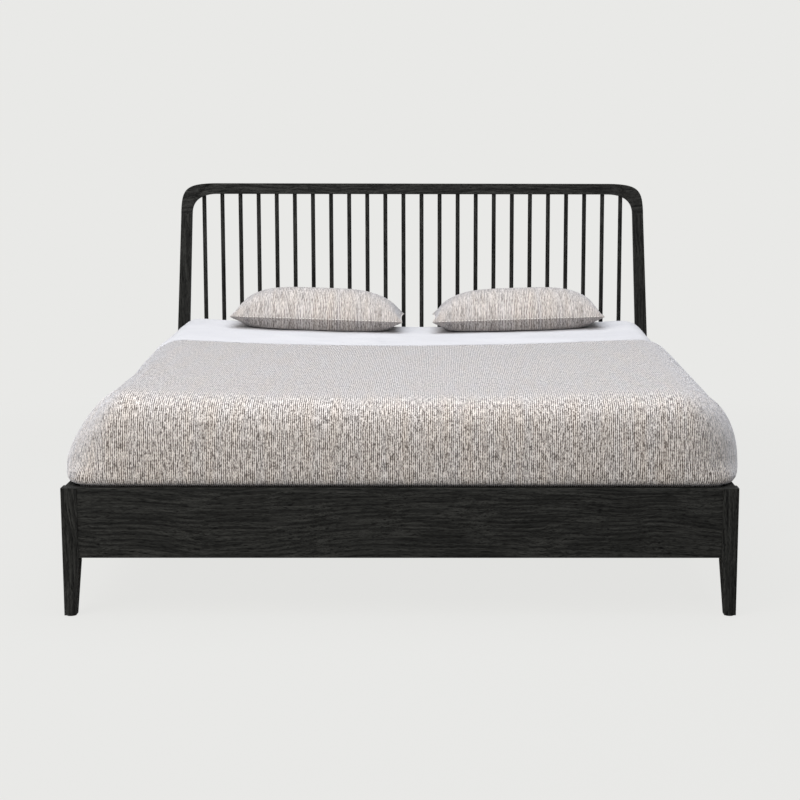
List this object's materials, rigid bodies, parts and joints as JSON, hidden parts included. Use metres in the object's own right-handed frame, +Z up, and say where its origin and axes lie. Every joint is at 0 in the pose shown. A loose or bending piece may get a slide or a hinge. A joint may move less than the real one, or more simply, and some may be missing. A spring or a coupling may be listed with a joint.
{
  "type": "spindle bed",
  "caption": "Dark oak double bed with a leaning headboard of round spindles between sculpted corner blocks, low board rails, tapered legs, slatted base and lift-off bedding",
  "frame": {"origin": "centre of the bed's footprint, on the floor", "axes": "+X across the bed, to the right as seen from the foot; +Y from the foot to the headboard; +Z up"},
  "size_m": [1.88, 2.1072, 1.1481],
  "materials": {
    "stained_oak": "black stained, open grain, matt oil",
    "base_timber": "planed softwood, bare",
    "slat_birch": "sanded birch plywood",
    "dowel_beech": "turned beech",
    "zinc_steel": "zinc plated, satin",
    "felt": "pressed felt",
    "webbing": "woven cotton tape",
    "ticking": "quilted cotton ticking",
    "sheet_cotton": "plain percale, matt",
    "ribbed_weave": "slub melange weave with lengthwise ribs, matt"
  },
  "bodies": {
    "frame": {"beam_hangers": "zinc_steel", "center_beam": "base_timber", "center_leg": "stained_oak", "center_leg_bolt": "zinc_steel", "corner_block_left": "stained_oak", "corner_block_right": "stained_oak", "corner_dowels": "dowel_beech", "foot_rail": "stained_oak", "front_leg_left": "stained_oak", "front_leg_right": "stained_oak", "glides": "felt", "hanger_screws": "zinc_steel", "head_post_left": "stained_oak", "head_post_right": "stained_oak", "headboard_rail": "stained_oak", "hook_plates": "zinc_steel", "ledger_left": "base_timber", "ledger_right": "base_timber", "ledger_screws": "zinc_steel", "plate_screws": "zinc_steel", "rail_dowels": "dowel_beech", "side_rail_left": "stained_oak", "side_rail_right": "stained_oak", "slat_tapes": "webbing", "slats_left": "slat_birch", "slats_right": "slat_birch", "slot_plates": "zinc_steel", "spindle_01": "stained_oak", "spindle_02": "stained_oak", "spindle_03": "stained_oak", "spindle_04": "stained_oak", "spindle_05": "stained_oak", "spindle_06": "stained_oak", "spindle_07": "stained_oak", "spindle_08": "stained_oak", "spindle_09": "stained_oak", "spindle_10": "stained_oak", "spindle_11": "stained_oak", "spindle_12": "stained_oak", "spindle_13": "stained_oak", "spindle_14": "stained_oak", "spindle_15": "stained_oak", "spindle_16": "stained_oak", "spindle_17": "stained_oak", "spindle_18": "stained_oak", "spindle_19": "stained_oak", "spindle_20": "stained_oak", "spindle_21": "stained_oak", "spindle_22": "stained_oak", "spindle_23": "stained_oak", "spindle_24": "stained_oak", "top_rail": "stained_oak"},
    "bedding": {"mattress": "ticking", "fitted_sheet": "sheet_cotton", "coverlet": "ribbed_weave"},
    "pillow_left": {"pillow_left": "ribbed_weave"},
    "pillow_right": {"pillow_right": "ribbed_weave"}
  },
  "joints": [
    {"name": "bedding_lift", "type": "slide", "parent": "frame", "child": "bedding", "axis": [0, 0, 1], "range_m": [0, 0.85]},
    {"name": "pillow_left_lift", "type": "slide", "parent": "bedding", "child": "pillow_left", "axis": [0, 0, 1], "range_m": [0, 0.6]},
    {"name": "pillow_right_lift", "type": "slide", "parent": "bedding", "child": "pillow_right", "axis": [0, 0, 1], "range_m": [0, 0.6]}
  ]
}
